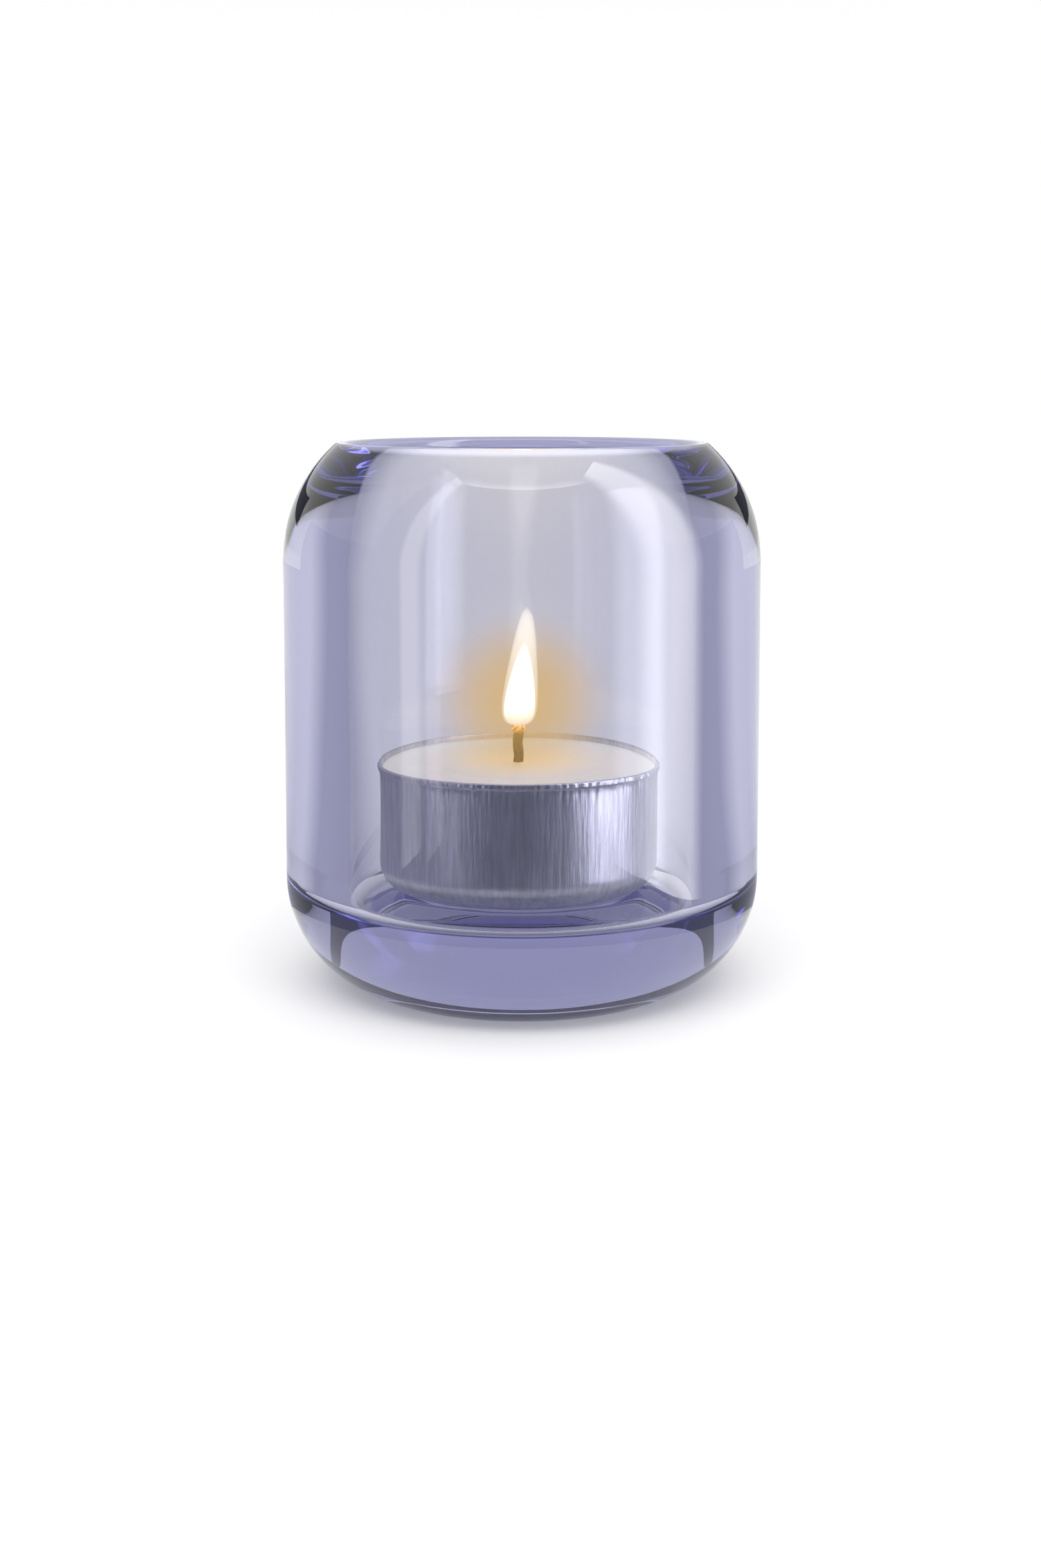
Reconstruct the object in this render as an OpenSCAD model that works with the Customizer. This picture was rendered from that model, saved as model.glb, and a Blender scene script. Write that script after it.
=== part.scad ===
// Tealight holder: a heavy tumbler of pressed glass with one tealight candle standing in it.
// Millimetres, +Z up. The origin is the centre of the glass's foot, on the surface it stands on.

/* [Glass] */
// Outer diameter of the straight wall
glass_d = 64.5; // [62:0.5:68]
// Height from the foot to the top of the lip
glass_h = 73.4; // [66:0.2:90]
// Diameter of the straight cavity
cavity_d = 47.5; // [45:0.5:50]
// Radius of the curve from the wall in to the lip
shoulder_r = 20.6; // [16:0.2:24]
// Radius of the rounded lip
lip_r = 1.4; // [0.8:0.1:2]
// Radius of the curve from the wall in to the foot
base_r = 16; // [14:0.5:18]
// Radius that blends the base curve into the foot
heel_r = 4; // [2:0.5:6]
// Diameter of the flat foot
foot_d = 42; // [40:0.5:46]

/* [Cavity floor] */
// Height of the floor at the bottom of the cavity's wall
floor_h = 12.2; // [8:0.2:13]
// Radius of the corner between the cavity's wall and its floor
floor_corner_r = 1.0; // [0.5:0.1:2]
// Height of the ring that the candle stands on
seat_h = 13.8; // [13.4:0.1:16]
// Mean diameter of that ring
seat_d = 29.8; // [26:0.2:32]
// Width of the ring's flat top
seat_w = 1.0; // [0.6:0.1:1.6]
// Depth of the round recess inside the ring
recess_depth = 2.4; // [1:0.1:4]
// Radius of the recess's hollow edge
recess_edge_r = 2.2; // [0.8:0.1:3]

/* [Candle] */
// Outer diameter of the cup's wall
cup_d = 37.8; // [36:0.1:38.5]
// Height of the cup with its rim
cup_h = 17.1; // [12:0.1:25]
// Radius of the cup's bottom corner
cup_corner_r = 4.0; // [2:0.1:5]
// Thickness of the cup's metal
cup_wall = 0.25; // [0.2:0.05:0.5]
// How far the rolled rim stands out from the wall
rim_out = 0.35; // [0.2:0.05:0.4]
// Height of the rolled rim
rim_h = 1.1; // [0.9:0.1:1.6]
// Depth of the wax's edge below the rim
wax_drop = 1.4; // [1.2:0.1:4]
// Depth of the melted hollow in the wax
melt_depth = 0.4; // [0.1:0.1:0.8]
// Diameter of the melted hollow
melt_d = 26; // [10:1:30]
// How far the candle stands to the side of the glass's axis
candle_off = 0.5; // [0:0.1:1.5]

/* [Wick] */
// Diameter of the wick
wick_d = 1.5; // [1:0.1:2]
// How far the wick stands out of the wax
wick_out = 4.5; // [2:0.5:8]
// Diameter of the disc that holds the wick's foot
disc_d = 13; // [8:0.5:16]
// Thickness of the disc and of its neck's wall
disc_t = 0.3; // [0.2:0.05:0.6]
// Height of the disc's crimped neck
neck_h = 4; // [2:0.5:6]

/* [Hidden] */

// Degrees between the points of an arc in an outline
arc_step = 3;
// Segments round the axis
round_fn = 144;
// How far the melted hollow's edge runs out for each unit that it rises
melt_slope = 2;

glass_r = glass_d / 2;
cavity_r = cavity_d / 2;
foot_r = foot_d / 2;

// Centres of the glass's arcs, each tangent to its neighbours
heel_c = [foot_r, heel_r];
base_c = [glass_r - base_r, heel_r + leg(base_r - heel_r, foot_r - glass_r + base_r)];
lip_c = [cavity_r + lip_r, glass_h - lip_r];
shoulder_x = glass_r - shoulder_r;
shoulder_c = [shoulder_x, lip_c.y - leg(shoulder_r - lip_r, lip_c.x - shoulder_x)];
floor_c = [cavity_r - floor_corner_r, floor_h + floor_corner_r];

// The arcs meet on the line through their centres
heel_turn = direction(base_c, heel_c);
lip_turn = direction(shoulder_c, lip_c);

// The ring that carries the candle, and the recess inside it
seat_in = (seat_d - seat_w) / 2;
seat_out = (seat_d + seat_w) / 2;
recess_h = seat_h - recess_depth;
recess_round = min(recess_edge_r, recess_depth);
recess_c = [seat_in - recess_round, recess_h + recess_round];

// The candle's own heights, from the underside of its cup
cup_r = cup_d / 2;
cup_in_r = cup_r - cup_wall;
cup_in_corner_r = cup_corner_r - cup_wall;
rim_z = cup_h - rim_h;
wax_z = cup_h - wax_drop;
wick_r = wick_d / 2;
neck_r = wick_r + disc_t;
wick_top = wax_z - melt_depth + wick_out;

// Other leg of a right triangle
function leg(hypotenuse, side) = sqrt(hypotenuse * hypotenuse - side * side);

// Angle of the line from one point to another
function direction(from, to) = atan2(to.y - from.y, to.x - from.x);

// Points of an arc, with both of its ends
function arc(centre, radius, from, to) =
    let (steps = max(2, ceil(abs(to - from) / arc_step)))
    [for (i = [0 : steps])
        let (turn = from + (to - from) * i / steps)
        centre + radius * [cos(turn), sin(turn)]];

// Outline of the glass from the axis under the foot, round the outside and back down the cavity
glass_outline = concat(
    [[0, 0]],
    arc(heel_c, heel_r, -90, heel_turn),
    arc(base_c, base_r, heel_turn, 0),
    arc(shoulder_c, shoulder_r, 0, lip_turn),
    arc(lip_c, lip_r, lip_turn, 180),
    arc(floor_c, floor_corner_r, 0, -90),
    [[seat_out, seat_h], [seat_in, seat_h]],
    arc(recess_c, recess_round, 0, -90),
    [[0, recess_h]]
);

// Outline of the space inside the cup, up to a height
function cup_space(top) = concat(
    [[0, cup_wall]],
    arc([cup_r - cup_corner_r, cup_corner_r], cup_in_corner_r, -90, 0),
    [[cup_in_r, top], [0, top]]
);

// Outline of the rolled rim, a flattened bead round the top of the wall
rim_outline = concat(
    arc([cup_r, rim_z + rim_out], rim_out, -90, 0),
    arc([cup_r, cup_h - rim_out], rim_out, 0, 90),
    [[cup_in_r, cup_h], [cup_in_r, rim_z]]
);

module turned(outline) rotate_extrude($fn = round_fn) polygon(outline);

// Places a piece of the candle on its seat
module on_seat() translate([-candle_off, 0, seat_h]) children();

module disc_and_neck() {
    cylinder(h = disc_t, d = disc_d, $fn = round_fn);
    cylinder(h = neck_h, r = neck_r, $fn = round_fn);
}

// The hollow, cut to as far above the wax as it goes down into it
module melted_hollow() {
    cut_h = 2 * melt_depth;
    cylinder(h = cut_h, d1 = melt_d, d2 = melt_d + 2 * melt_slope * cut_h, $fn = round_fn);
}

module glass_holder() color("mediumpurple", 0.5) turned(glass_outline);

module candle_cup() color("silver") on_seat() difference() {
    union() {
        turned(concat(
            [[0, 0]],
            arc([cup_r - cup_corner_r, cup_corner_r], cup_corner_r, -90, 0),
            [[cup_r, cup_h], [0, cup_h]]
        ));
        turned(rim_outline);
    }
    turned(cup_space(cup_h + cup_wall));
}

module wax() color("linen") on_seat() difference() {
    turned(cup_space(wax_z));
    translate([0, 0, wax_z - melt_depth]) melted_hollow();
    translate([0, 0, cup_wall]) disc_and_neck();
    cylinder(h = wick_top, r = wick_r, $fn = round_fn);
}

module wick() color("saddlebrown") on_seat()
    translate([0, 0, cup_wall]) cylinder(h = wick_top - cup_wall, r = wick_r, $fn = round_fn);

module wick_sustainer() color("lightsteelblue") on_seat() difference() {
    translate([0, 0, cup_wall]) disc_and_neck();
    cylinder(h = wick_top, r = wick_r, $fn = round_fn);
}

glass_holder();
candle_cup();
wax();
wick();
wick_sustainer();
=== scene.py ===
"""Looks of the tealight holder, lavender pressed glass with a lit tealight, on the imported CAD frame."""

import math

import bpy
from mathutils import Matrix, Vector, noise


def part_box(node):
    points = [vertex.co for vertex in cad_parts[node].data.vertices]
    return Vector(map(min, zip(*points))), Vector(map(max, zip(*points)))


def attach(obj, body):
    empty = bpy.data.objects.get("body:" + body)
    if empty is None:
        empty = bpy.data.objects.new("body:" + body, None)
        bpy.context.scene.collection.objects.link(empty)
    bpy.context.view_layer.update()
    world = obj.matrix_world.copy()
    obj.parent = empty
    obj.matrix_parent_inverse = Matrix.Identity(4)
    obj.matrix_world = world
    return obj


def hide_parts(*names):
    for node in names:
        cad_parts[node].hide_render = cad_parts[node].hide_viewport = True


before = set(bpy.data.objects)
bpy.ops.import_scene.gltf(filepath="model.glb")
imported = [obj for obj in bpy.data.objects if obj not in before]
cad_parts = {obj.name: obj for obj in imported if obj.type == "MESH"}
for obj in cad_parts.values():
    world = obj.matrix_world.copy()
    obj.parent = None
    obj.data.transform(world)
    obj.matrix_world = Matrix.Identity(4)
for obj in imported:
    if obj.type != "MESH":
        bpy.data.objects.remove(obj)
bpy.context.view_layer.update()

MM = 0.001
# The wick's charred end stands this much higher than in the CAD.
WICK_CURL = 1.3 * MM

# ---------------------------------------------------------------- places, from the frame
GLASS_LOW, GLASS_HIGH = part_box("glass_holder")
CUP_LOW, CUP_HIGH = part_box("candle_cup")
WAX_LOW, WAX_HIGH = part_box("wax")
WICK_LOW, WICK_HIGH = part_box("wick")

GLASS_R = (GLASS_HIGH.x - GLASS_LOW.x) / 2
GLASS_H = GLASS_HIGH.z
CANDLE_AXIS = Vector(((CUP_LOW.x + CUP_HIGH.x) / 2, 0, 0))
SEAT_Z = CUP_LOW.z
RIM_R = (CUP_HIGH.x - CUP_LOW.x) / 2
RIM_Z = CUP_HIGH.z
WAX_R = (WAX_HIGH.x - WAX_LOW.x) / 2
WAX_Z = WAX_HIGH.z
WICK_R = (WICK_HIGH.x - WICK_LOW.x) / 2
WICK_TOP = WICK_HIGH.z + WICK_CURL

# ---------------------------------------------------------------- sizes, as in the CAD source
CAVITY_R = 23.75 * MM
FLOOR_Z = 12.2 * MM
SHOULDER_R = 20.6 * MM
BASE_R = 16 * MM
HEEL_R = 4 * MM
FOOT_R = 21 * MM
RECESS_DEPTH = 2.4 * MM
RECESS_EDGE_R = 2.2 * MM
CUP_WALL = 0.25 * MM
CUP_CORNER_R = 4 * MM
DISC_R = 6.5 * MM
NECK_H = 4 * MM

# ---------------------------------------------------------------- sizes that differ from the CAD
# The cavity's floor has a softer corner, the lip is sharper, and the seat ring is round and further out.
FLOOR_CORNER_R = 2.0 * MM
LIP_R = 0.9 * MM
RIDGE_R = 15.6 * MM
RIDGE_ROUND = 0.9 * MM
# How far the pressing's unevenness reaches, and over what height it comes round again. All of the glass
# is drawn in a little, which keeps the outside within the CAD's box.
SWELL_INSIDE = 0.07 * MM
SWELL_OUTSIDE = 0.03 * MM
SWELL_RISE = 22 * MM
SWELL_FOOT_FADE = 2 * MM
SWELL_LIP_FADE = 3 * MM
GLASS_DRAWN_IN = 0.03 * MM

# How strongly the painted highlight on the inner edge of the lip glows.
LIP_PAINTED_HIGHLIGHT = 0.45

# The rolled rim is slimmer.
RIM_OUT = 0.25 * MM
RIM_H = 0.8 * MM
# Marks in the thin metal: how deep, how closely they follow each other round the cup, and how tall.
CRINKLE = (0.10 * MM, 60, 0.7 * MM)
FOLD = (0.15 * MM, 46, 9 * MM)
DENT = (0.10 * MM, 2.4, 14 * MM)
CUP_DRAWN_IN = 0.02 * MM

# The wax stands higher, and climbs a little at the cup and at the wick.
WAX_LIFT = 0.35 * MM
MENISCUS_H = 0.33 * MM
MENISCUS_REACH = 0.5 * MM
CLIMB_H = 0.4 * MM
CLIMB_REACH = 0.35 * MM
# The painted flame light in the wax is strongest this far behind the wick.
WARM_BACK = 5 * MM

WICK_BURIED = 2 * MM
WICK_STRANDS = 3
STRAND_RISE = 0.55 * MM
STRAND_DEPTH = 0.14
# The curled, glowing ends of the wick.
EMBERS = (
    # name, x from the axis, z from the wick's top, radius
    ("ember_left", -0.48 * MM, -0.1 * MM, 0.48 * MM),
    ("ember_right", 0.5 * MM, 0.05 * MM, 0.42 * MM),
)

GLASS_SEGMENTS = 240
CUP_SEGMENTS = 720
SMALL_SEGMENTS = 48
ARC_STEP = math.radians(4)
ON_AXIS = 1e-7
TURN = 2 * math.pi


# ---------------------------------------------------------------- mesh helpers
def leg(hypotenuse, side):
    """The other leg of a right triangle."""
    return math.sqrt(hypotenuse**2 - side**2)


def direction(start, end):
    """Angle of the line from one point of an outline to another."""
    return math.atan2(end[1] - start[1], end[0] - start[0])


def arc(centre, radius, start, end, step=ARC_STEP):
    """Points of an arc in an outline, with both of its ends. Angles are in radians."""
    steps = max(2, math.ceil(abs(end - start) / step))
    turns = [start + (end - start) * i / steps for i in range(steps + 1)]
    return [(centre[0] + radius * math.cos(t), centre[1] + radius * math.sin(t)) for t in turns]


def line(start, end, longest):
    """Points between two outline points, both left out, no further apart than longest."""
    steps = max(1, math.ceil(math.dist(start, end) / longest))
    return [
        tuple(a + (b - a) * i / steps for a, b in zip(start, end))
        for i in range(1, steps)
    ]


def filled(outline, longest):
    """The outline with points added along its long straight stretches."""
    points = [outline[0]]
    for start, end in zip(outline, outline[1:]):
        points += line(start, end, longest) + [end]
    return points


def make_object(name, points, faces):
    mesh = bpy.data.meshes.new(name)
    mesh.from_pydata(points, [], faces)
    mesh.validate()
    mesh.polygons.foreach_set("use_smooth", [True] * len(mesh.polygons))
    mesh.update()
    piece = bpy.data.objects.new(name, mesh)
    bpy.context.scene.collection.objects.link(piece)
    return piece


def lathe(name, outline, segments, axis=Vector(), shape=None):
    """Turns an outline of (radius, height) points round a vertical axis. Points on the axis become poles.
    shape(radius, height, angle) may return another radius and height for a point."""
    points, rings = [], []
    for radius, height in outline:
        if radius < ON_AXIS:
            rings.append([len(points)])
            points.append(axis + Vector((0, 0, height)))
            continue
        ring = []
        for i in range(segments):
            angle = TURN * i / segments
            r, z = shape(radius, height, angle) if shape else (radius, height)
            ring.append(len(points))
            points.append(axis + Vector((r * math.cos(angle), r * math.sin(angle), z)))
        rings.append(ring)
    faces = []
    for lower, upper in zip(rings, rings[1:]):
        for i in range(segments):
            j = (i + 1) % segments
            if len(lower) == 1:
                faces.append((lower[0], upper[j], upper[i]))
            elif len(upper) == 1:
                faces.append((lower[i], lower[j], upper[0]))
            else:
                faces.append((lower[i], lower[j], upper[j], upper[i]))
    return make_object(name, points, faces)


# ---------------------------------------------------------------- material helpers
class Nodes:
    """A node tree of a new material or world, with short calls to add nodes and join them."""

    def __init__(self, name, world=False):
        self.owner = (bpy.data.worlds if world else bpy.data.materials).new(name)
        self.owner.use_nodes = True
        self.tree = self.owner.node_tree
        self.tree.nodes.clear()
        self.output = self.add("ShaderNodeOutputWorld" if world else "ShaderNodeOutputMaterial")

    def add(self, kind, **settings):
        node = self.tree.nodes.new(kind)
        for key, value in settings.items():
            setattr(node, key, value)
        return node

    def feed(self, node, **values):
        """Sets or joins a node's inputs. A name's underscores stand for spaces."""
        for key, value in values.items():
            self.put(node.inputs[key.replace("_", " ")], value)
        return node

    def put(self, socket, value):
        if isinstance(value, bpy.types.NodeSocket):
            self.tree.links.new(value, socket)
        else:
            socket.default_value = value

    def place(self):
        """The point on the piece, in metres."""
        return self.add("ShaderNodeTexCoord").outputs["Object"]

    def stretched(self, scale):
        """The point on the piece in metres, stretched by scale."""
        mapping = self.feed(self.add("ShaderNodeMapping"), Vector=self.place(), Scale=scale)
        return mapping.outputs["Vector"]

    def xyz(self, vector):
        split = self.add("ShaderNodeSeparateXYZ")
        self.put(split.inputs[0], vector)
        return split.outputs

    def distance(self, point):
        """How far the point on the piece is from another one."""
        between = self.add("ShaderNodeVectorMath", operation="DISTANCE")
        self.put(between.inputs[0], self.place())
        self.put(between.inputs[1], point)
        return between.outputs["Value"]

    def noise(self, vector, scale, detail=3.0, roughness=0.5):
        node = self.add("ShaderNodeTexNoise")
        self.feed(node, Vector=vector, Scale=scale, Detail=detail, Roughness=roughness)
        return node.outputs["Fac"]

    def spread(self, value, low, high, to_low=0.0, to_high=1.0, smooth=False):
        """Maps a value's range onto another, and holds it at the ends."""
        node = self.add("ShaderNodeMapRange")
        node.interpolation_type = "SMOOTHSTEP" if smooth else "LINEAR"
        for key, number in (("From Min", low), ("From Max", high), ("To Min", to_low), ("To Max", to_high)):
            node.inputs[key].default_value = number
        self.put(node.inputs["Value"], value)
        return node.outputs["Result"]

    def math(self, operation, a, b=0.0):
        node = self.add("ShaderNodeMath", operation=operation)
        self.put(node.inputs[0], a)
        self.put(node.inputs[1], b)
        return node.outputs[0]

    def blend(self, share, a, b):
        """A colour between a and b."""
        node = self.add("ShaderNodeMix", data_type="RGBA")
        self.put(node.inputs["Factor"], share)
        self.put(node.inputs["A"], a)
        self.put(node.inputs["B"], b)
        return node.outputs["Result"]

    def bump(self, height, depth, strength=1.0):
        node = self.add("ShaderNodeBump")
        self.feed(node, Height=height, Distance=depth, Strength=strength)
        return node.outputs["Normal"]

    def principled(self, **values):
        shader = self.feed(self.add("ShaderNodeBsdfPrincipled"), **values)
        self.surface(shader.outputs[0])

    def light(self, **values):
        return self.feed(self.add("ShaderNodeEmission"), **values).outputs[0]

    def clear(self):
        return self.add("ShaderNodeBsdfTransparent").outputs[0]

    def mixed(self, share, a, b):
        """A shader between a and b."""
        mix = self.add("ShaderNodeMixShader")
        for socket, value in zip(mix.inputs, (share, a, b)):
            self.put(socket, value)
        return mix.outputs[0]

    def added(self, a, b):
        both = self.add("ShaderNodeAddShader")
        self.put(both.inputs[0], a)
        self.put(both.inputs[1], b)
        return both.outputs[0]

    def surface(self, socket):
        self.tree.links.new(socket, self.output.inputs["Surface"])

    def volume(self, socket):
        self.tree.links.new(socket, self.output.inputs["Volume"])


def colour(red, green, blue):
    return (red, green, blue, 1.0)


def finish_piece(piece, body, material, slot, *replaced):
    piece.data.materials.append(material)
    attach(piece, body)
    if replaced:
        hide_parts(*replaced)


# ---------------------------------------------------------------- the glass
def glass_outline():
    """From the axis under the foot, round the outside and back down the cavity."""
    heel = (FOOT_R, HEEL_R)
    base = (GLASS_R - BASE_R, HEEL_R + leg(BASE_R - HEEL_R, FOOT_R - GLASS_R + BASE_R))
    lip = (CAVITY_R + LIP_R, GLASS_H - LIP_R)
    shoulder_x = GLASS_R - SHOULDER_R
    shoulder = (shoulder_x, lip[1] - leg(SHOULDER_R - LIP_R, lip[0] - shoulder_x))
    corner = (CAVITY_R - FLOOR_CORNER_R, FLOOR_Z + FLOOR_CORNER_R)
    ridge = (RIDGE_R, SEAT_Z - RIDGE_ROUND)
    recess_r = RIDGE_R - RIDGE_ROUND
    recess_z = SEAT_Z - RECESS_DEPTH
    hollow = (recess_r - RECESS_EDGE_R, recess_z + RECESS_EDGE_R)
    quarter = math.pi / 2
    return (
        [(0, 0)]
        + arc(heel, HEEL_R, -quarter, direction(base, heel))
        + arc(base, BASE_R, direction(base, heel), 0)[1:]
        + arc(shoulder, SHOULDER_R, 0, direction(shoulder, lip))
        + arc(lip, LIP_R, direction(shoulder, lip), math.pi, math.radians(8))[1:]
        + arc(corner, FLOOR_CORNER_R, 0, -quarter, math.radians(9))
        + arc(ridge, RIDGE_ROUND, math.radians(50), math.pi, math.radians(10))
        + arc(hollow, RECESS_EDGE_R, 0, -quarter, math.radians(7))
        + [(0, recess_z)]
    )


def pressed(radius, height, angle):
    """The slight unevenness that pressing leaves in the glass, most on the cavity's side."""
    at = Vector((math.cos(angle), math.sin(angle), height / SWELL_RISE))
    below_lip = min(1.0, max(0.0, (GLASS_H - height) / SWELL_LIP_FADE))
    if radius < CAVITY_R + LIP_R / 2 and height > SEAT_Z - RECESS_DEPTH - MM:
        swell = SWELL_INSIDE * noise.noise(at * 1.3)
        return radius + (swell - GLASS_DRAWN_IN) * below_lip, height
    above_foot = min(1.0, height / SWELL_FOOT_FADE)
    swell = SWELL_OUTSIDE * noise.noise(at * 0.9)
    return radius + (swell - GLASS_DRAWN_IN) * above_foot * below_lip, height


def painted_lip_highlight(n):
    """A painted highlight: the light that the inner edge of the lip catches, given as an emission strength.
    """
    x, y, z = n.xyz(n.place())
    out = n.math("SQRT", n.math("ADD", n.math("MULTIPLY", x, x), n.math("MULTIPLY", y, y)))
    high = n.spread(z, GLASS_H - 2.0 * MM, GLASS_H - 1.2 * MM, smooth=True)
    inside = n.spread(out, CAVITY_R + 0.5 * MM, CAVITY_R + 1.4 * MM, 1.0, 0.0, smooth=True)
    return n.math("MULTIPLY", n.math("MULTIPLY", high, inside), LIP_PAINTED_HIGHLIGHT)


def glass_material():
    n = Nodes("lavender_glass")
    seeds = n.noise(n.place(), 260.0, 2.0)
    n.principled(
        Base_Color=colour(0.84, 0.84, 0.84),
        Roughness=n.spread(seeds, 0.35, 0.7, 0.0, 0.012),
        IOR=1.5,
        Transmission_Weight=1.0,
        # The glass's emission is a painted highlight along the inner edge of the lip.
        Emission_Color=colour(0.72, 0.72, 0.86),
        Emission_Strength=painted_lip_highlight(n),
        Normal=n.bump(n.noise(n.stretched((1, 1, 0.5)), 90.0, 1.0), 0.02 * MM, 0.5),
    )
    tint = n.add("ShaderNodeVolumeAbsorption")
    n.feed(tint, Color=colour(0.11, 0.11, 0.60), Density=20.0)
    n.volume(tint.outputs[0])
    return n.owner


def make_glass():
    outline = filled(glass_outline(), 1.6 * MM)
    piece = lathe("tumbler", outline, GLASS_SEGMENTS, shape=pressed)
    finish_piece(piece, "holder", glass_material(), "glass", "glass_holder")


# ---------------------------------------------------------------- the tealight
def cup_outline():
    """Round the metal: up the inside from the axis, over the rolled rim, and down the outside."""
    outer_r = RIM_R - RIM_OUT
    inner_r = outer_r - CUP_WALL
    quarter = math.pi / 2
    corner = (outer_r - CUP_CORNER_R, SEAT_Z + CUP_CORNER_R)
    bead = (RIM_OUT + CUP_WALL) / 2
    top = (RIM_R - bead, RIM_Z - bead)
    low = (RIM_R - bead, RIM_Z - RIM_H + bead)
    return (
        [(0, SEAT_Z)]
        + arc(corner, CUP_CORNER_R, -quarter, 0)
        + [(outer_r, RIM_Z - RIM_H - 0.15 * MM)]
        + arc(low, bead, math.radians(-70), 0, math.radians(12))
        + arc(top, bead, 0, quarter, math.radians(12))
        + arc((inner_r + CUP_WALL, RIM_Z - CUP_WALL), CUP_WALL, quarter, math.pi, math.radians(20))
        + arc(corner, CUP_CORNER_R - CUP_WALL, 0, -quarter)
        + [(0, SEAT_Z + CUP_WALL)]
    )


def mark(kind, angle, height, start=0):
    """How far one kind of mark moves the metal at a point."""
    depth, close, tall = kind
    around = Vector((math.cos(angle), math.sin(angle), 0)) * close
    return depth * noise.noise(around + Vector((0, 0, height / tall + start)))


def drawn(radius, height, angle):
    """Puckers that drawing and rolling leave in the thin metal, strongest just under the rim."""
    if radius < RIM_R - RIM_OUT - CUP_WALL / 2:
        return radius, height
    below = RIM_Z - RIM_H - height
    under_rim = math.exp(-((below / (0.5 * MM)) ** 2))
    pucker = math.exp(-max(0.0, below) / (1.3 * MM))
    wall = max(0.0, min(1.0, (height - SEAT_Z - 2 * MM) / (4 * MM)))
    crinkle = under_rim * mark(CRINKLE, angle, height)
    fold = pucker * wall * mark(FOLD, angle, height)
    dent = wall * mark(DENT, angle, height, start=7)
    return radius + crinkle + fold + dent - CUP_DRAWN_IN * wall, height


def cup_material():
    n = Nodes("drawn_aluminium")
    fine = n.noise(n.stretched((1, 1, 0.07)), 2400.0, 4.0, 0.6)
    coarse = n.noise(n.stretched((1, 1, 0.16)), 800.0, 3.0)
    cloud = n.noise(n.place(), 160.0, 4.0)
    marks = n.math("ADD", n.math("MULTIPLY", fine, 0.6), n.math("MULTIPLY", coarse, 0.4))
    brushed = n.spread(marks, 0.38, 0.62)
    n.principled(
        Base_Color=n.blend(brushed, colour(0.60, 0.60, 0.64), colour(0.78, 0.78, 0.82)),
        Metallic=1.0,
        Roughness=n.spread(cloud, 0.3, 0.7, 0.36, 0.46),
        Normal=n.bump(marks, 0.16 * MM, 0.65),
    )
    return n.owner


def wax_outline():
    """Up the wall from the axis under the wax, over the meniscus and the flat top, in to the wick."""
    corner = (WAX_R + CUP_WALL - CUP_CORNER_R, SEAT_Z + CUP_CORNER_R)
    surface = WAX_Z + WAX_LIFT
    meniscus = [
        (WAX_R * share, surface + MENISCUS_H * math.exp(-(1 - share) * WAX_R / MENISCUS_REACH))
        for share in (1.0, 0.993, 0.985, 0.975, 0.96, 0.94, 0.91, 0.87, 0.8, 0.7, 0.5, 0.3)
    ]
    climb = [
        (radius, surface + CLIMB_H * math.exp(-(radius - WICK_R) / CLIMB_REACH))
        for radius in (3 * MM, 2 * MM, 1.5 * MM, 1.2 * MM, 1 * MM, 0.85 * MM, WICK_R * 0.98)
    ]
    return (
        [(0, SEAT_Z + CUP_WALL)]
        + arc(corner, CUP_CORNER_R - CUP_WALL, -math.pi / 2, 0)
        + meniscus
        + climb
        + [(0, surface + CLIMB_H)]
    )


def wax_material():
    n = Nodes("candle_wax")
    cloud = n.noise(n.place(), 220.0, 3.0)
    # Painted flame light: the whole wax glows a little, and it glows warmer and stronger towards a point
    # behind the wick. The same mask also makes the molten pool amber and smoother, partly the pool's own
    # colour and partly painted warm light.
    reach = n.distance((CANDLE_AXIS.x, WARM_BACK, WAX_Z))
    melt_pool_and_flame_light = n.spread(reach, 1 * MM, 14 * MM, 1.0, 0.0, smooth=True)
    white = n.blend(n.spread(cloud, 0.3, 0.7), colour(0.90, 0.88, 0.83), colour(0.95, 0.94, 0.91))
    n.principled(
        Base_Color=n.blend(melt_pool_and_flame_light, white, colour(0.93, 0.84, 0.66)),
        Roughness=n.spread(melt_pool_and_flame_light, 0, 1, 0.42, 0.3),
        IOR=1.44,
        Subsurface_Weight=0.9,
        Subsurface_Radius=(1.0, 0.62, 0.36),
        Subsurface_Scale=2.2 * MM,
        # The wax's emission is painted flame light. The wax itself is not a lamp.
        Emission_Color=n.blend(melt_pool_and_flame_light, colour(0.92, 0.88, 0.80), colour(1.0, 0.80, 0.48)),
        Emission_Strength=n.spread(melt_pool_and_flame_light, 0, 1, 0.30, 0.46),
        Normal=n.bump(cloud, 0.05 * MM, 0.4),
    )
    return n.owner


def wick_braid(radius, height, angle):
    """Two crossing families of strands."""
    if height > WICK_TOP - 0.1 * MM or radius < 0.3 * MM:
        return radius, height
    turn = WICK_STRANDS * angle
    rise = height / STRAND_RISE
    strands = max(math.cos(turn + rise), math.cos(turn - rise))
    return radius * (1 + STRAND_DEPTH * (strands - 1)), height


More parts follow.
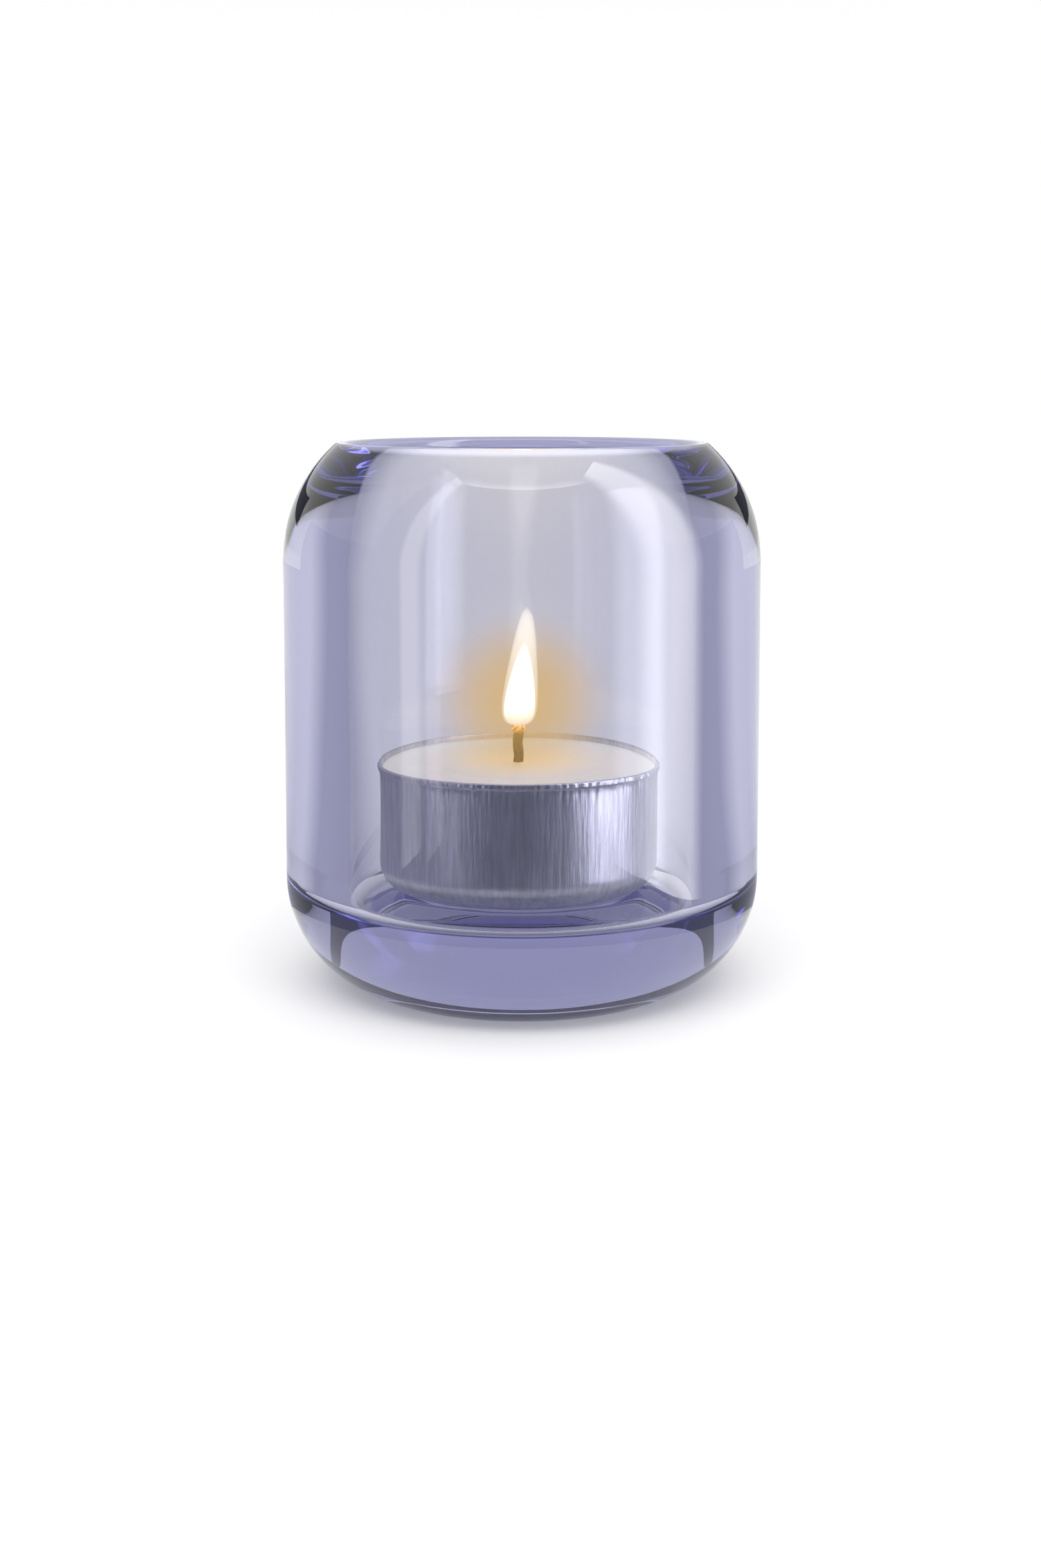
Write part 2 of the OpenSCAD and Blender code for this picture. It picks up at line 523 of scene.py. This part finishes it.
def wick_material():
    n = Nodes("charred_cotton")
    height = n.xyz(n.place())["Z"]
    burnt = n.spread(height, WAX_Z, WAX_Z + 2.2 * MM, smooth=True)
    speck = n.spread(n.noise(n.place(), 2600.0, 3.0), 0.35, 0.65)
    amber = n.blend(speck, colour(0.10, 0.04, 0.008), colour(0.45, 0.20, 0.035))
    char = n.blend(speck, colour(0.05, 0.02, 0.006), colour(0.25, 0.11, 0.03))
    glow = n.spread(height, WICK_TOP - 0.9 * MM, WICK_TOP, smooth=True)
    n.principled(
        Base_Color=n.blend(burnt, amber, char),
        Roughness=n.spread(speck, 0, 1, 0.45, 0.9),
        Emission_Color=n.blend(speck, colour(1, 0.25, 0.03), colour(1, 0.62, 0.2)),
        Emission_Strength=n.math("MULTIPLY", glow, 1.6),
        Normal=n.bump(speck, 0.08 * MM, 0.8),
    )
    return n.owner


def ember_material():
    n = Nodes("ember")
    speck = n.spread(n.noise(n.place(), 2400.0, 3.0), 0.38, 0.62)
    n.principled(
        Base_Color=n.blend(speck, colour(0.22, 0.08, 0.015), colour(0.75, 0.38, 0.08)),
        Roughness=n.spread(speck, 0, 1, 0.3, 0.8),
        Emission_Color=n.blend(speck, colour(0.9, 0.28, 0.03), colour(1.0, 0.72, 0.25)),
        Emission_Strength=n.spread(speck, 0, 1, 0.25, 1.6),
        Normal=n.bump(speck, 0.1 * MM, 0.8),
    )
    return n.owner


def make_wick():
    low = WAX_Z - WICK_BURIED
    side = filled([(0, low), (WICK_R, low), (WICK_R, WICK_TOP - 0.4 * MM)], 0.1 * MM)
    top = [(WICK_R * 0.85, WICK_TOP - 0.15 * MM), (WICK_R * 0.5, WICK_TOP), (0, WICK_TOP)]
    wick = lathe("wick_braid", side + top, SMALL_SEGMENTS, CANDLE_AXIS, wick_braid)
    finish_piece(wick, "candle", wick_material(), "wick", "wick")
    ember = ember_material()
    for name, x, z, radius in EMBERS:
        ball = arc((0, 0), radius, -math.pi / 2, math.pi / 2, math.radians(15))
        place = CANDLE_AXIS + Vector((x, 0, WICK_TOP + z))
        finish_piece(lathe(name, ball, SMALL_SEGMENTS, place), "candle", ember, "wick")


def make_wick_foot(metal):
    low = SEAT_Z + CUP_WALL
    plate_top = low + CUP_WALL
    neck_r = WICK_R + CUP_WALL
    plate = [(0, low), (DISC_R, low), (DISC_R, plate_top)]
    neck = [(neck_r, plate_top), (neck_r, low + NECK_H), (0, low + NECK_H)]
    disc = lathe("wick_foot", plate + neck, SMALL_SEGMENTS, CANDLE_AXIS)
    finish_piece(disc, "candle", metal, "sustainer", "wick_sustainer")


def make_candle():
    metal = cup_material()
    cup = lathe("tealight_cup", filled(cup_outline(), 0.8 * MM), CUP_SEGMENTS, CANDLE_AXIS, drawn)
    finish_piece(cup, "candle", metal, "cup", "candle_cup")
    wax = lathe("wax_block", filled(wax_outline(), 1.5 * MM), CUP_SEGMENTS // 2, CANDLE_AXIS)
    finish_piece(wax, "candle", wax_material(), "wax", "wax")
    make_wick()
    make_wick_foot(metal)


# ---------------------------------------------------------------- the flame
# Half widths of the bright core up its height, from the wick's top.
CORE_PROFILE = (
    # height, half width
    (0.3 * MM, 0.0),
    (0.7 * MM, 1.3 * MM),
    (1.6 * MM, 1.95 * MM),
    (3.0 * MM, 2.1 * MM),
    (4.8 * MM, 1.95 * MM),
    (6.8 * MM, 1.6 * MM),
    (8.8 * MM, 1.15 * MM),
    (10.2 * MM, 0.7 * MM),
    (11.1 * MM, 0.33 * MM),
    (11.6 * MM, 0.0),
)
# Half widths of the fainter veil that stands round the core and above it.
VEIL_PROFILE = (
    (0.1 * MM, 0.0),
    (0.6 * MM, 1.5 * MM),
    (1.6 * MM, 2.25 * MM),
    (3.5 * MM, 2.45 * MM),
    (6.5 * MM, 2.25 * MM),
    (9.5 * MM, 1.85 * MM),
    (12.4 * MM, 1.45 * MM),
    (15.2 * MM, 0.85 * MM),
    (16.6 * MM, 0.0),
)
PROFILE_STEPS = 60
# The flame leans this far to the right by the top of its core.
FLAME_LEAN = 0.8 * MM
# The warm haze round the flame, cut off flat just above the wax.
HALO_R = 14 * MM
HALO_GAP = 0.1 * MM
HALO_CENTRE = (CANDLE_AXIS.x + FLAME_LEAN / 2, 0, WICK_TOP + 3.5 * MM)


def profile_at(profile, share):
    """A smooth point at a share of the way along a list of (height, half width) pairs."""
    place = share * (len(profile) - 1)
    i = min(int(place), len(profile) - 2)
    part = place - i
    before = profile[max(i - 1, 0)]
    start, end = profile[i], profile[i + 1]
    after = profile[min(i + 2, len(profile) - 1)]
    point = []
    for p0, p1, p2, p3 in zip(before, start, end, after):
        slope = (p2 - p0) / 2
        next_slope = (p3 - p1) / 2
        cubic = 2 * p1 - 2 * p2 + slope + next_slope
        square = -3 * p1 + 3 * p2 - 2 * slope - next_slope
        point.append(((cubic * part + square) * part + slope) * part + p1)
    return max(0.0, point[1]), WICK_TOP + point[0]


def lean_with_height(piece, low, high):
    """Bends the flame a little to the right as it rises."""
    for vertex in piece.data.vertices:
        share = max(0.0, (vertex.co.z - low) / (high - low))
        vertex.co.x += FLAME_LEAN * min(share, 1.3) ** 1.2


def flame_core_material():
    n = Nodes("flame_core")
    height = n.xyz(n.place())["Z"]
    solid = n.spread(height, WICK_TOP + 0.4 * MM, WICK_TOP + 4 * MM, 0.04, 0.97, smooth=True)
    light = n.light(Color=colour(1.0, 0.90, 0.72), Strength=4.5)
    n.surface(n.mixed(solid, n.clear(), light))
    return n.owner


def glow_material(name, tint, strength, thickness, reach=None):
    """A haze with a clear skin, which hides what's behind it as it glows.
    With a reach it fades out that far from the halo's centre."""
    n = Nodes(name)
    n.surface(n.clear())
    if reach:
        near = n.spread(n.distance(HALO_CENTRE), 0, reach, 1.0, 0.0, smooth=True)
        strength = n.math("MULTIPLY", near, strength)
        thickness = n.math("MULTIPLY", near, thickness)
    light = n.light(Color=tint, Strength=strength)
    haze = n.feed(n.add("ShaderNodeVolumeAbsorption"), Color=colour(0, 0, 0), Density=thickness)
    n.volume(n.added(light, haze.outputs[0]))
    return n.owner


def make_flame():
    veil = glow_material("flame_veil", colour(1.0, 0.94, 0.80), strength=900.0, thickness=500.0)
    for name, profile, material in (
        ("flame_core", CORE_PROFILE, flame_core_material()),
        ("flame_veil", VEIL_PROFILE, veil),
    ):
        outline = [profile_at(profile, i / PROFILE_STEPS) for i in range(PROFILE_STEPS + 1)]
        piece = lathe(name, outline, SMALL_SEGMENTS, CANDLE_AXIS)
        lean_with_height(piece, WICK_TOP, WICK_TOP + CORE_PROFILE[-1][0])
        finish_piece(piece, "candle", material, "flame")
    low = WAX_Z + WAX_LIFT + HALO_GAP
    centre_z = HALO_CENTRE[2]
    start = math.asin((low - centre_z) / HALO_R)
    outline = [(0, low)] + arc((0, centre_z), HALO_R, start, math.pi / 2, math.radians(6))
    halo = lathe("flame_halo", outline, SMALL_SEGMENTS, Vector((HALO_CENTRE[0], 0, 0)))
    amber = colour(1.0, 0.63, 0.16)
    material = glow_material("flame_halo", amber, strength=118.0, thickness=116.0, reach=HALO_R)
    finish_piece(halo, "candle", material, "flame")


# ---------------------------------------------------------------- studio
FLOOR_SIDE = 3.0
FLOOR_GLOW = 0.15
# The table stands this far below the foot.
FLOOR_DROP = 0.15 * MM
HORIZON_LIGHT = 1.0
SKY_LIGHT = 0.85
TOP_LIGHT = 1.2
KEY_LIGHT = 4.0

# The dim room beyond the lit table. Azimuths are 0 behind the glass and 180 at the camera.
ROOM_START = 50 * MM
ROOM_END = 0.7
ROOM_TOP = 1.25
ROOM_WALL_FROM = math.radians(110)
ROOM_SIDE_TOP = 0.2
ROOM_SIDE_FROM = math.radians(55)
ROOM_TONES = (
    # azimuth, colour
    (0, (1.1, 1.1, 1.1)),
    (30, (1.0, 1.0, 1.05)),
    (50, (0.50, 0.50, 0.62)),
    (130, (0.42, 0.42, 0.54)),
    (160, (0.20, 0.20, 0.26)),
    (180, (0.18, 0.18, 0.24)),
)
ROOM_COLUMNS = 96
ROOM_LIFT = 0.2 * MM
# The candle's shade on the table behind it.
SHADE_SIDE = 45 * MM
SHADE_NEAR = 31 * MM
SHADE_FAR = 105 * MM
SHADE_LIFT = 0.1 * MM
SHADE_FULL = 0.6
SHADE_TONE = (0.06, 0.06, 0.10)
DARK_RIMS = (
    # name, radius, its foot, height behind the glass, rise towards its ends, half of its turn, tone
    ("room_beyond", 0.72, 0.115, 0.128, 0.098, math.radians(42), (0.12, 0.12, 0.16)),
    ("low_shade", 46 * MM, 0, 6 * MM, 0, math.radians(40), (0.05, 0.05, 0.08)),
)
RIM_STEPS = 48
# A glowing disc under the foot, between it and the table.
GLOW_CARD_R = 23 * MM
GLOW_CARD_Y = 4 * MM
GLOW_CARD_TONE = (0.40, 0.40, 0.56)
# Each soft box fades over this share of its width at its first end, and over half of it at the other.
SOFTBOX_EDGE = 0.4
SOFTBOXES = (
    # name, x of its plane, from y, to y, height, strength
    ("right_softbox", 85 * MM, -85 * MM, -16 * MM, 0.26, 5.0),
    ("left_softbox", -90 * MM, -104 * MM, -72 * MM, 0.26, 2.2),
)


def stage_card(card, material):
    """Puts a card of the studio where it's only seen in the glass and the metal."""
    card.data.materials.append(material)
    card.visible_camera = False
    card.visible_diffuse = False
    card.visible_shadow = False


def make_floor():
    half = FLOOR_SIDE / 2
    low = -FLOOR_DROP
    corners = [(-half, -half, low), (half, -half, low), (half, half, low), (-half, half, low)]
    floor = make_object("floor", corners, [(0, 1, 2, 3)])
    n = Nodes("pale_floor")
    n.principled(
        Base_Color=colour(0.84, 0.84, 0.84),
        Roughness=0.9,
        Emission_Color=colour(1, 1, 1),
        Emission_Strength=FLOOR_GLOW,
    )
    floor.data.materials.append(n.owner)


def wall_height(azimuth):
    """The room's wall is high on the camera's side, low at the sides, and open behind the glass."""
    aside = math.pi - abs(math.pi - azimuth)
    if aside > ROOM_WALL_FROM:
        return ROOM_TOP
    return ROOM_SIDE_TOP if aside > ROOM_SIDE_FROM else 0.0


def make_room():
    """A ring on the floor that rises to a wall."""
    points = []
    for i in range(ROOM_COLUMNS + 1):
        azimuth = TURN * i / ROOM_COLUMNS
        across = Vector((math.sin(azimuth), math.cos(azimuth), 0))
        start = across * ROOM_START + Vector((0, 0, ROOM_LIFT))
        end = across * ROOM_END + Vector((0, 0, ROOM_LIFT))
        points += [start, end, end + Vector((0, 0, wall_height(azimuth)))]
    faces = []
    for a in range(0, 3 * ROOM_COLUMNS, 3):
        b = a + 3
        faces += [(a, a + 1, b + 1, b), (a + 1, a + 2, b + 2, b + 1)]
    n = Nodes("dim_room")
    x, y, _ = n.xyz(n.place())
    aside = n.math("ABSOLUTE", n.math("ARCTAN2", x, y))
    ramp = n.add("ShaderNodeValToRGB")
    n.put(ramp.inputs[0], n.math("DIVIDE", aside, math.pi))
    stops = ramp.color_ramp.elements
    while len(stops) < len(ROOM_TONES):
        stops.new(0.5)
    for stop, (azimuth, tone) in zip(stops, ROOM_TONES):
        stop.position = azimuth / 180
        stop.color = colour(*tone)
    n.surface(n.light(Color=ramp.outputs["Color"]))
    stage_card(make_object("dim_room", points, faces), n.owner)


def make_shadow_card():
    """The shade of the candle on the table behind it, as seen through the foot of the glass."""
    left, right, near, far = -SHADE_SIDE, SHADE_SIDE, SHADE_NEAR, SHADE_FAR
    corners = [(x, y, SHADE_LIFT) for x, y in ((left, near), (right, near), (right, far), (left, far))]
    n = Nodes("candle_shade")
    x, y, _ = n.xyz(n.place())
    across = n.spread(n.math("ABSOLUTE", x), SHADE_FULL * right, right, 1.0, 0.0, smooth=True)
    along = n.spread(y, (near + far) / 2, far, 1.0, 0.0, smooth=True)
    shade = n.light(Color=colour(*SHADE_TONE))
    n.surface(n.mixed(n.math("MULTIPLY", across, along), n.clear(), shade))
    stage_card(make_object("candle_shade", corners, [(0, 1, 2, 3)]), n.owner)


def make_dark_rims():
    """Dark upright cards behind the glass: the unlit room far off, and the candle's own shade."""
    for name, radius, low, high, rise, half_turn, tone in DARK_RIMS:
        turns = [half_turn * (2 * i / RIM_STEPS - 1) for i in range(RIM_STEPS + 1)]
        foot = [(radius * math.sin(t), radius * math.cos(t), low) for t in turns]
        top = [(x, y, high + rise * (t / half_turn) ** 2) for (x, y, _), t in zip(foot, turns)]
        points = foot + top
        faces = [(i, i + 1, i + RIM_STEPS + 2, i + RIM_STEPS + 1) for i in range(RIM_STEPS)]
        n = Nodes(name)
        n.surface(n.light(Color=colour(*tone)))
        stage_card(make_object(name, points, faces), n.owner)


def make_foot_glow():
    """The light that gathers on the table under the foot."""
    turns = [math.radians(a) for a in range(0, 360, 10)]
    edge = [(GLOW_CARD_R * math.cos(t), GLOW_CARD_R * math.sin(t)) for t in turns]
    points = [(x, GLOW_CARD_Y + y, -0.5 * FLOOR_DROP) for x, y in edge]
    n = Nodes("foot_glow")
    n.surface(n.light(Color=colour(*GLOW_CARD_TONE)))
    stage_card(make_object("foot_glow", points, [tuple(range(len(points)))]), n.owner)


def make_softboxes():
    for name, x, start, end, height, strength in SOFTBOXES:
        corners = [(x, start, 0), (x, end, 0), (x, end, height), (x, start, height)]
        n = Nodes(name)
        along = n.xyz(n.place())["Y"]
        edge = SOFTBOX_EDGE * (end - start)
        rise = n.spread(along, start, start + edge, smooth=True)
        fall = n.spread(along, end - edge / 2, end, 1.0, 0.0, smooth=True)
        glow = n.math("MULTIPLY", n.math("MULTIPLY", rise, fall), strength)
        n.surface(n.added(n.light(Strength=glow), n.clear()))
        stage_card(make_object(name, corners, [(0, 1, 2, 3)]), n.owner)


def make_world():
    """White at the horizon, a little dimmer above, with a broad key light above and behind the camera."""
    n = Nodes("studio", world=True)
    x, y, z = n.xyz(n.add("ShaderNodeTexCoord").outputs["Generated"])
    elevation = n.math("DEGREES", n.math("ARCSINE", z))
    turn = n.math("ARCTAN2", x, n.math("MULTIPLY", y, -1.0))
    from_camera = n.math("DEGREES", n.math("ABSOLUTE", turn))
    sky = n.spread(elevation, 9, 14, HORIZON_LIGHT, SKY_LIGHT, smooth=True)
    top = n.spread(elevation, 55, 70, 0.0, TOP_LIGHT - SKY_LIGHT, smooth=True)
    side = n.spread(from_camera, 35, 60, 1.0, 0.0, smooth=True)
    low = n.spread(elevation, 40, 48, smooth=True)
    high = n.spread(elevation, 58, 66, 1.0, 0.0, smooth=True)
    key = n.math("MULTIPLY", n.math("MULTIPLY", side, n.math("MULTIPLY", low, high)), KEY_LIGHT)
    light = n.math("ADD", n.math("ADD", sky, top), key)
    background = n.feed(n.add("ShaderNodeBackground"), Color=colour(1, 1, 1), Strength=light)
    n.surface(background.outputs[0])
    bpy.context.scene.world = n.owner


# The camera looks along +Y, a little down. Its sensor is shifted to frame the whole glass.
CAMERA_BACK = 0.2819
CAMERA_UP = 0.08256
CAMERA_SIDE = -0.0002
CAMERA_PITCH = math.radians(6)
SENSOR = 36.0
LENS = 47.94
SHIFT_UP = -0.1218


def make_camera():
    data = bpy.data.cameras.new("camera")
    data.sensor_width = SENSOR
    data.lens = LENS
    data.shift_y = SHIFT_UP
    data.clip_start = 0.01
    camera = bpy.data.objects.new("camera", data)
    camera.location = (CAMERA_SIDE, -CAMERA_BACK, CAMERA_UP)
    camera.rotation_euler = (math.pi / 2 - CAMERA_PITCH, 0, 0)
    bpy.context.scene.collection.objects.link(camera)
    bpy.context.scene.camera = camera


def set_look():
    scene = bpy.context.scene
    scene.view_settings.view_transform = "Standard"
    scene.view_settings.look = "None"
    scene.cycles.max_bounces = 24
    scene.cycles.transmission_bounces = 20
    scene.cycles.glossy_bounces = 8
    scene.cycles.transparent_max_bounces = 24
    scene.cycles.volume_bounces = 0


make_camera()
make_world()
make_floor()
make_room()
make_shadow_card()
make_dark_rims()
make_foot_glow()
make_softboxes()
make_glass()
make_candle()
make_flame()
set_look()
